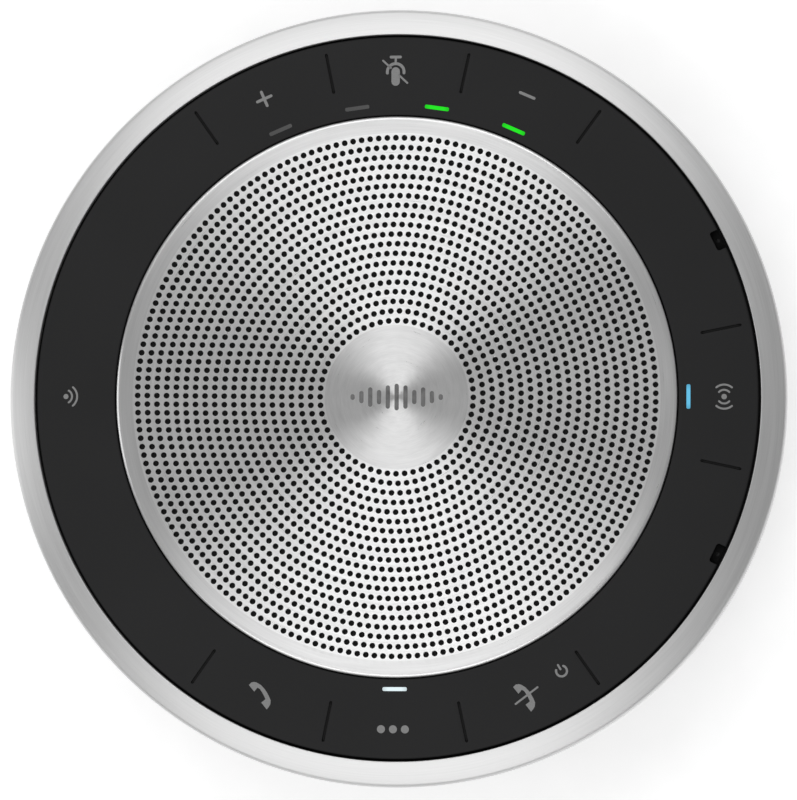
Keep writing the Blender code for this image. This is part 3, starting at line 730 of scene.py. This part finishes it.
# Strokes of each key's mark, the radius it is printed at and degrees from the key's middle
ICONS = {
    "volume_up": (PLUS, 50.4, 0.5),
    "volume_down": (MINUS, 50.55, 0.25),
    "mute": (MUTED, 50.3, 0.3),
    "menu": (DOTS, 51.05, -0.3),
    "wireless": (WAVES, 50.35, 0.0),
}

# Outline of a telephone handset, from its earpiece round its back to its mouthpiece
HANDSET = (
    (-1.76, 1.5),
    (-1.37, 1.88),
    (-0.9, 1.97),
    (-0.49, 1.85),
    (0.1, 1.5),
    (0.7, 0.86),
    (1.02, 0.37),
    (1.33, -0.18),
    (1.6, -0.83),
    (1.56, -1.44),
    (1.28, -1.91),
    (0.98, -2.24),
    (0.15, -1.19),
    (0.82, -0.66),
    (0.36, 0.26),
    (-0.04, 0.86),
    (-0.42, 1.1),
    (-0.93, 0.48),
)


def make_mark(name, outlines, spot, turn, material, body, centre_angle=None):
    """A printed mark on the skin. On a key, whose middle is at centre_angle, it is made in two halves, an inner
    and an outer one."""
    bm = bmesh.new()
    position = Matrix.Translation((*spot, 0)) @ Matrix.Rotation(radians(turn), 4, "Z")
    for outline in outlines:
        bm.faces.new([bm.verts.new(position @ Vector((x, y, 0))) for x, y in outline])

    def skin(x, y):
        return ring_height(hypot(x, y))

    if centre_angle is None:
        finished(raised(name, bm, skin, MARK_LIFT), material, body)
        return
    spoke = Vector((*around(1, centre_angle), 0))
    step = 0.25
    for i in range(-12, 13):
        geometry = bm.verts[:] + bm.edges[:] + bm.faces[:]
        bmesh.ops.bisect_plane(bm, geom=geometry, plane_co=spoke * (ICON_RING + step * i), plane_no=spoke)
    for half, bend in (("inner", INNER_BEND), ("outer", OUTER_BEND)):
        part = bm.copy()
        beyond = {face: face.calc_center_median().dot(spoke) > ICON_RING for face in part.faces}
        drop = [face for face, outside in beyond.items() if outside == (half == "inner")]
        bmesh.ops.delete(part, geom=drop, context="FACES")
        if not part.faces:
            part.free()
            continue
        piece = raised(f"{name}_{half}", part, skin, MARK_LIFT)
        paint(piece, material)
        bend_with_key(piece, spoke, bend)
    bm.free()


def bend_with_key(piece, spoke, bend):
    """Bakes a piece's placement into its mesh; it is not blended between the two radii along the key's spoke."""
    start, end = (tuple(spoke * radius * MM) for radius in bend)
    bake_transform(piece)
    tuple(start)
    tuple(end)


def make_marks(ink):
    for key, (outlines, ring, turn) in ICONS.items():
        angle = KEY_ANGLES[key]
        spot = around(ring, angle + turn)
        make_mark(f"{key}_mark", outlines, spot, angle + turn - 90, ink, f"{key}_button", angle)
    answer, end_call = KEY_ANGLES["answer"], KEY_ANGLES["end_call"]
    make_mark("answer_mark", [HANDSET], around(50.3, 245.7), 0, ink, "answer_button", answer)
    slash = capsule((-1.37, -1.08), (1.98, 1.5), 0.3)
    hang_up = [HANDSET, slash]
    make_mark("end_call_mark", hang_up, around(50.15, 293.4), 0, ink, "end_call_button", end_call)
    power = [band((0, 0), 0.83, 0.34, -220, 40), capsule((0, 0.32), (0, 1.06), 0.32)]
    power_angle = 301.3
    spot = around(49.2, power_angle)
    make_mark("power_mark", power, spot, power_angle + 90, ink, "end_call_button", end_call)
    card = [band((0, 0), 1.05, 0.3, -60, 60), band((0, 0), 1.85, 0.3, -50, 50), dot((0.1, 0), 0.4)]
    make_mark("tap_mark", card, around(ICON_RING + 0.8, 180), 0, ink, "housing")


# ---------------------------------------------------------------- skin over the control ring


def groove_share(radius):
    """How far a groove is open at a radius, from 0 at its ends to 1 along it."""
    inside = min(radius - GROOVE_INNER, GROOVE_OUTER - radius)
    return 0.0 if inside <= 0 else sqrt(min(1.0, inside / 0.2))


def edge_roll(radius):
    """How far the ring's top rolls down towards its two edges."""
    roll = 0.25
    inside = min(radius - SKIN_INNER, SKIN_OUTER - radius)
    if inside >= roll:
        return 0.0
    return roll - sqrt(roll * roll - (roll - inside) ** 2)


def radii_between(inner, outer):
    """Rows of a patch: close together at the ring's edges, the grooves' ends and where the skin bends."""
    marks = {inner, outer}
    for edge, sign in ((SKIN_INNER, 1), (SKIN_OUTER, -1)):
        marks |= {edge + sign * d for d in (0.0, 0.02, 0.06, 0.12, 0.2, 0.3, 0.5)}
    for edge, sign in ((GROOVE_INNER, 1), (GROOVE_OUTER, -1)):
        marks |= {edge + sign * d for d in (-0.1, 0.0, 0.03, 0.08, 0.14, 0.2)}
    step = 0.3
    count = int((SKIN_OUTER - SKIN_INNER) / step) + 1
    marks |= {SKIN_INNER + step * i for i in range(count)}
    rows = []
    for radius in sorted(m for m in marks if inner <= m <= outer):
        if rows and radius - rows[-1] < 0.015:
            continue
        rows.append(radius)
    rows[-1] = outer
    return rows


def skin_patch(name, start, stop, inner, outer):
    """A patch of the skin between two grooves, closed underneath."""
    rows = radii_between(inner, outer)
    lip = 0.14  # width of the rounded edge along a groove
    count = max(8, round((stop - start) / 0.6))
    bm = bmesh.new()
    layers = []
    for bottom in (False, True):
        grid = []
        for radius in rows:
            opening = groove_share(radius)
            side = opening * GROOVE_WIDTH / 2
            low, high = radians(start) + side / radius, radians(stop) - side / radius
            inset = lip / radius
            turns = [low, low + inset * 0.35, low + inset]
            turns += [low + inset + (high - low - 2 * inset) * i / count for i in range(1, count)]
            turns += [high - inset, high - inset * 0.35, high]
            height = ring_height(radius) - (SKIN if bottom else edge_roll(radius))
            row = []
            for i, turn in enumerate(turns):
                near = min(i, len(turns) - 1 - i)  # rows from the patch's side
                roll = opening * (0.1, 0.025, 0.0)[min(near, 2)] * (not bottom)
                row.append(bm.verts.new(place(radius, turn, height - roll)))
            grid.append(row)
        layers.append(grid)
    top, under = layers
    last, width = len(rows) - 1, len(top[0])
    for i in range(last):
        for j in range(width - 1):
            bm.faces.new((top[i][j], top[i + 1][j], top[i + 1][j + 1], top[i][j + 1]))
            bm.faces.new((under[i][j], under[i][j + 1], under[i + 1][j + 1], under[i + 1][j]))
        for j in (0, width - 1):
            bm.faces.new((top[i][j], top[i + 1][j], under[i + 1][j], under[i][j]))
    for j in range(width - 1):
        for i in (0, last):
            bm.faces.new((top[i][j], top[i][j + 1], under[i][j + 1], under[i][j]))
    bmesh.ops.recalc_face_normals(bm, faces=bm.faces)
    return smooth(from_bmesh(name, bm), 40)


def make_skin(skin):
    """The fixed patches, with the microphone notches cut in, and two patches over each key."""
    for name, (start, stop) in FIXED_SECTORS.items():
        patch = skin_patch(f"skin_{name}", start, stop, SKIN_INNER, SKIN_OUTER)
        for side, angle in NOTCH_ANGLES.items():
            if start < angle % 360 < stop:
                low = (NOTCH_INNER, -NOTCH_WIDTH / 2, 28)
                high = (58, NOTCH_WIDTH / 2, 34)
                smooth(cut(patch, rounded_block(f"notch_{side}", low, high, angle, 0.4)), 40)
        finished(patch, skin)
    for key, angle in KEY_ANGLES.items():
        spoke = Vector((*around(1, angle), 0))
        for half, inner, outer, bend in (
            ("inner", SKIN_INNER, KEY_SPLIT, INNER_BEND),
            ("outer", KEY_SPLIT, SKIN_OUTER, OUTER_BEND),
        ):
            start, stop = angle - KEY_WIDTH / 2, angle + KEY_WIDTH / 2
            patch = skin_patch(f"{key}_skin_{half}", start, stop, inner, outer)
            paint(patch, skin)
            bend_with_key(patch, spoke, bend)
            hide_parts(f"{key}_key")


def make_groove_webs(skin):
    """The thin skin at the bottom of the grooves: narrow closed strips under the gaps between the patches, in a
    darker material than the skin round them, as painted shade in the grooves.
    """
    sides = (-KEY_WIDTH / 2, KEY_WIDTH / 2)
    borders = sorted({(angle + side) % 360 for angle in KEY_ANGLES.values() for side in sides})
    bm = bmesh.new()
    steps = 8
    for i, border in enumerate(borders):
        if i and border - borders[i - 1] < 1:  # two keys share this groove
            continue
        turn = Matrix.Rotation(radians(border), 4, "Z")
        loops = []
        for step in range(steps + 1):
            radius = GROOVE_INNER + (GROOVE_OUTER - GROOVE_INNER) * step / steps
            half = GROOVE_WIDTH / 2 - 0.02 if 0 < step < steps else 0.05
            top = ring_height(radius) - GROOVE_DEPTH
            corners = ((-half, top), (half, top), (half, top - 0.5), (-half, top - 0.5))
            points = (Vector((radius, y, z)) * MM for y, z in corners)
            loops.append([bm.verts.new(turn @ point) for point in points])
        for loop, following in zip(loops, loops[1:]):
            for j in range(4):
                bm.faces.new((loop[j - 1], loop[j], following[j], following[j - 1]))
        bm.faces.new(loops[0])
        bm.faces.new(loops[-1])
    bmesh.ops.recalc_face_normals(bm, faces=bm.faces)
    finished(from_bmesh("groove_webs", bm), skin)


def make_deck(skin):
    """The ring under the skin: a deck with two ridges that carry the skin's edges."""
    under = ring_height(50) - SKIN - 0.6
    flange = DECK_BOTTOM + 1.0
    inner_ridge, outer_ridge, bore = 45.6, 54.9, 42.8
    inner_side, outer_side = RING_INNER + 0.1, RING_OUTER - 0.1

    def seat(radius):
        return ring_height(radius) - SKIN - 0.1

    outline = [
        (CHASSIS_RADIUS, DECK_BOTTOM),
        (CHASSIS_RADIUS, flange),
        (outer_side, flange),
        (outer_side, seat(RING_OUTER)),
        (outer_ridge, seat(outer_ridge)),
        (outer_ridge, under - 0.3),
        (inner_ridge, under),
        (inner_ridge, seat(inner_ridge)),
        (inner_side, seat(RING_INNER)),
        (inner_side, flange),
        (bore, flange),
        (bore, DECK_BOTTOM),
    ]
    deck = smooth(turned("ring_deck", outline, 180))
    finished(deck, skin)
    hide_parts("control_ring")


def make_windows():
    """The windows' flat bars, lying on the ring's slope."""
    finishes = {
        "green": lit_window("window_green", (0.015, 0.8, 0.015)),
        "white": lit_window("window_white", (0.8, 0.93, 0.97)),
        "blue": lit_window("window_blue", (0.13, 0.52, 0.78)),
        "off": moulded("window_unlit", (0.09, 0.09, 0.09), 0.4, 8.0, 0.005, shine=0.2),
    }
    slope = ring_height(WINDOW_RING + 0.5) - ring_height(WINDOW_RING - 0.5)
    tilt = Matrix.Rotation(-atan2(slope, 1.0), 4, "Y")
    seat = Matrix.Translation(place(WINDOW_RING, 0, ring_height(WINDOW_RING)))
    low = (-WINDOW_WIDTH / 2, -WINDOW_LENGTH / 2, -0.8)
    high = (WINDOW_WIDTH / 2, WINDOW_LENGTH / 2, 0.02)
    for name, (angle, state) in WINDOWS.items():
        bar = rounded_block(f"window_{name}", low, high, 0, 0.22, 5, True)
        bar.matrix_world = Matrix.Rotation(radians(angle), 4, "Z") @ seat @ tilt
        finished(bar, finishes[state])
        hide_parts(f"light_window_{name}")


# ---------------------------------------------------------------- rim and housing


def make_rim(metal):
    """The rim: a short wall with a fillet over into a cone that slopes in to the ring."""
    centre = (OUTER_RADIUS - RIM_FILLET, RIM_EQUATOR)
    edge = sweep(centre, RIM_FILLET, 0, pi / 2 - RIM_SLOPE, 8)
    lip, wall, step = 57.0, 58.9, 29.0
    corners = [
        (RIM_INNER, GRILLE_RIM_BOTTOM, 0),
        (lip, GRILLE_RIM_BOTTOM, 0),
        (lip, step, 0),
        (wall, step, 0),
        (wall, RIM_BOTTOM, 0),
        (OUTER_RADIUS, RIM_BOTTOM, 0.25),
        *((r, z, 0) for r, z in edge),
        (RIM_INNER, RIM_INNER_TOP, 0.15),
    ]
    rim = smooth(turned("rim_ring", filleted(corners), 360))
    finished(rim, metal)
    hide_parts("metal_rim")


def bowl(top_radius, top, floor_radius, floor, points=25):
    """Outline of a quarter ellipse from a bowl's brim down to its floor."""
    outline = []
    for i in range(points):
        angle = pi / 2 * i / (points - 1)
        radius = floor_radius + (top_radius - floor_radius) * cos(angle)
        outline.append((radius, top + (floor - top) * sin(angle)))
    return outline


def make_housing(plastic):
    """The bowl, with a groove for the foot ring, screw bosses and the recess for the plug."""
    groove = FOOT_TOP + 0.2
    gap = 0.3
    outside = [
        *bowl(BOWL_TOP_RADIUS, BOWL_TOP, FLOOR_RADIUS, FLOOR_BOTTOM),
        (FOOT_OUTER + gap, FLOOR_BOTTOM),
        (FOOT_OUTER + gap, groove),
        (FOOT_INNER - gap, groove),
        (FOOT_INNER - gap, FLOOR_BOTTOM),
        (0, FLOOR_BOTTOM),
        (0, BOWL_TOP),
    ]
    housing = turned("bowl_shell", outside, 200)
    inner_top = BOWL_TOP_RADIUS - BOWL_WALL
    inside = [
        (inner_top, BOWL_TOP + 2),
        *bowl(inner_top, BOWL_TOP, FLOOR_RADIUS - BOWL_WALL + 0.6, FLOOR_TOP, 13),
        (0, FLOOR_TOP),
        (0, BOWL_TOP + 2),
    ]
    core = turned("bowl_core", inside, 120)
    for angle in BOSS_ANGLES:
        cut(core, rod("boss", BOSS_RADIUS, 2, BOSS_TOP, around(BOSS_RING, angle)))
        cut(core, rod("shoulder", SHOULDER_RADIUS, 2, SHOULDER_TOP, around(BOSS_RING, angle)))
    cut(core, rounded_block("port_block", (-9, PORT_LAND - 2.7, 7), (9, 65, 17.6)))
    cut(housing, core)
    for angle in BOSS_ANGLES:
        cut(housing, rod("counterbore", COUNTERBORE_RADIUS, 0.5, COUNTERBORE_TOP, around(BOSS_RING, angle)))
        cut(housing, rod("clearance", CLEARANCE_RADIUS, 10, 25, around(BOSS_RING, angle)))
    for name, half_width, half_height, inner, outer in (
        ("recess", 6.6, 3.6, PORT_LAND, 65),
        ("port_hole", 4.8, 1.95, 45, 60),
    ):
        low = (-half_width, inner, PORT_HEIGHT - half_height)
        high = (half_width, outer, PORT_HEIGHT + half_height)
        cut(housing, rounded_block(name, low, high, 0, 1.2, 5))
    smooth(housing, 25)
    finished(housing, plastic)
    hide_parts("lower_housing")


def make_foot(rubber):
    corners = [
        (FOOT_OUTER, FOOT_TOP, 0),
        (FOOT_OUTER, 0, 0.4),
        (FOOT_INNER, 0, 0.4),
        (FOOT_INNER, FOOT_TOP, 0),
    ]
    foot = smooth(turned("foot_pad", filleted(corners), 200), 50)
    finished(foot, rubber)
    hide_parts("foot_ring")


def make_rating_label():
    """Blank label on the underside, inside the foot ring."""
    low, high = (-17, -10, FLOOR_BOTTOM - 0.15), (17, 10, FLOOR_BOTTOM + 0.05)
    label = rounded_block("rating_label", low, high, 0, 0.07, 1)
    film = moulded("label_film", (0.32, 0.32, 0.33), 0.45, 8.0, 0.004, 0.06)
    finished(label, film)


def flexing_ring(name, outline, fixed, moving, material):
    """A ring that joins the diaphragm to its frame, from the radius fixed to the radius moving. It is made in
    sectors."""
    sectors = 24
    width = 2 * pi / sectors
    for i in range(sectors):
        bm = bmesh.new()
        turn = Matrix.Rotation(width * i, 4, "Z")
        face = bm.faces.new([bm.verts.new(turn @ Vector((r * MM, 0, z * MM))) for r, z in outline])
        swept = [face, *face.edges, *face.verts]
        bmesh.ops.spin(bm, geom=swept, axis=(0, 0, 1), cent=(0, 0, 0), angle=width, steps=3)
        bmesh.ops.recalc_face_normals(bm, faces=bm.faces)
        piece = paint(smooth(from_bmesh(f"{name}_sector_{i + 1}", bm)), material)
        middle = width * (i + 0.5)
        start, end = (tuple(place(radius, middle, 0)) for radius in (fixed, moving))
        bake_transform(piece)
        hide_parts(f"driver_{name}")


def make_suspension(rubber, cloth):
    """The cone's rolled rubber edge and the corrugated disc that centres its coil."""
    centre, roll, thickness, base = 25.7, 1.7, 0.4, 23.3
    clamped, glued = 27.45, 23.2
    hollow = roll - thickness
    edge = [
        (clamped, base),
        (clamped, base + thickness),
        *sweep((centre, base + thickness), roll, 0, pi, 12),
        (glued, base + thickness),
        (glued, base),
        (centre - hollow, base),
        *sweep((centre, base + thickness), hollow, pi, 0, 12),
        (centre + hollow, base),
    ]
    flexing_ring("surround", edge, 27.0, 24.6, rubber)
    first, last, low, wave, waves, thickness = 11.2, 21.2, 15.6, 0.45, 3, 0.35
    steps = 36
    top = []
    for i in range(steps + 1):
        share = i / steps
        ripple = wave * (1 - cos(2 * pi * waves * share)) / 2
        top.append((first + (last - first) * share, low + thickness + ripple))
    under = [(r, z - thickness) for r, z in reversed(top)]
    flexing_ring("spider", top + under, 20.4, 12.8, cloth)


def finish_inside(skin, plastic, rubber):
    """Materials for the CAD nodes, and the driver's suspension, which shares two of them."""
    cloth = woven("spider_cloth", (0.05, 0.04, 0.02))
    by_slot = {
        "soft_touch_black": skin,
        "housing_black": plastic,
        "inner_plastic": moulded("inner_moulding", (0.04, 0.04, 0.045), 0.6, 1.5, 0.02),
        "rubber": rubber,
        "acoustic_cloth": cloth,
        "steel": scuffed_metal("zinc_steel", (0.6, 0.6, 0.62), 0.32),
        "magnet": scuffed_metal("nickel_magnet", (0.62, 0.6, 0.56), 0.22),
        "copper": scuffed_metal("copper_winding", (0.72, 0.36, 0.2), 0.35),
        "cone_paper": moulded("cone_pulp", (0.03, 0.03, 0.032), 0.75, 2.0, 0.05),
        "board": circuit_board(),
        "battery_wrap": scuffed_metal("battery_foil", (0.5, 0.52, 0.55), 0.4, 0.3),
        "shield": scuffed_metal("tinned_shield", (0.7, 0.7, 0.69), 0.3),
    }
    slots = {part["node"]: part["material_slot"] for part in frame["record"]["subparts"]}
    for name, node in frame["nodes"].items():
        if slots[name] in by_slot:
            paint(node, by_slot[slots[name]])
    make_suspension(rubber, cloth)
    boot = moulded("boot_rubber", (0.003, 0.003, 0.003), 0.8, 4.0, 0.01, shine=0.1)
    for side in NOTCH_ANGLES:
        paint(frame["nodes"][f"mic_boot_{side}"], boot)


def main():
    add_camera()
    add_studio()
    skin = moulded("soft_touch_skin", (0.018, 0.018, 0.0185), 0.6, 7.0, 0.006, 0.06, 0.18)
    plastic = moulded("eroded_black", (0.02, 0.02, 0.022), 0.5, 4.0, 0.02)
    rubber = moulded("foot_rubber", (0.022, 0.022, 0.022), 0.8, 3.0, 0.02)
    ink = printed_ink("grey_ink", (0.25, 0.25, 0.25))
    finish_inside(skin, plastic, rubber)
    make_grille()
    make_centre_mark(scuffed_metal("mark_metal", (0.2, 0.2, 0.2), 0.4))
    make_skin(skin)
    # The groove bottoms get a darker, duller copy of the skin: painted shade in the grooves.
    make_groove_webs(moulded("groove_skin_painted_shade", (0.011, 0.011, 0.011), 0.7, 7.0, 0.006, 0.06, 0.1))
    make_deck(skin)
    make_marks(ink)
    make_windows()
    make_rim(brushed_metal("rim_brushed", (0.7, 0.7, 0.7), 0.42, 0.7))
    make_housing(plastic)
    make_foot(rubber)
    make_rating_label()


main()
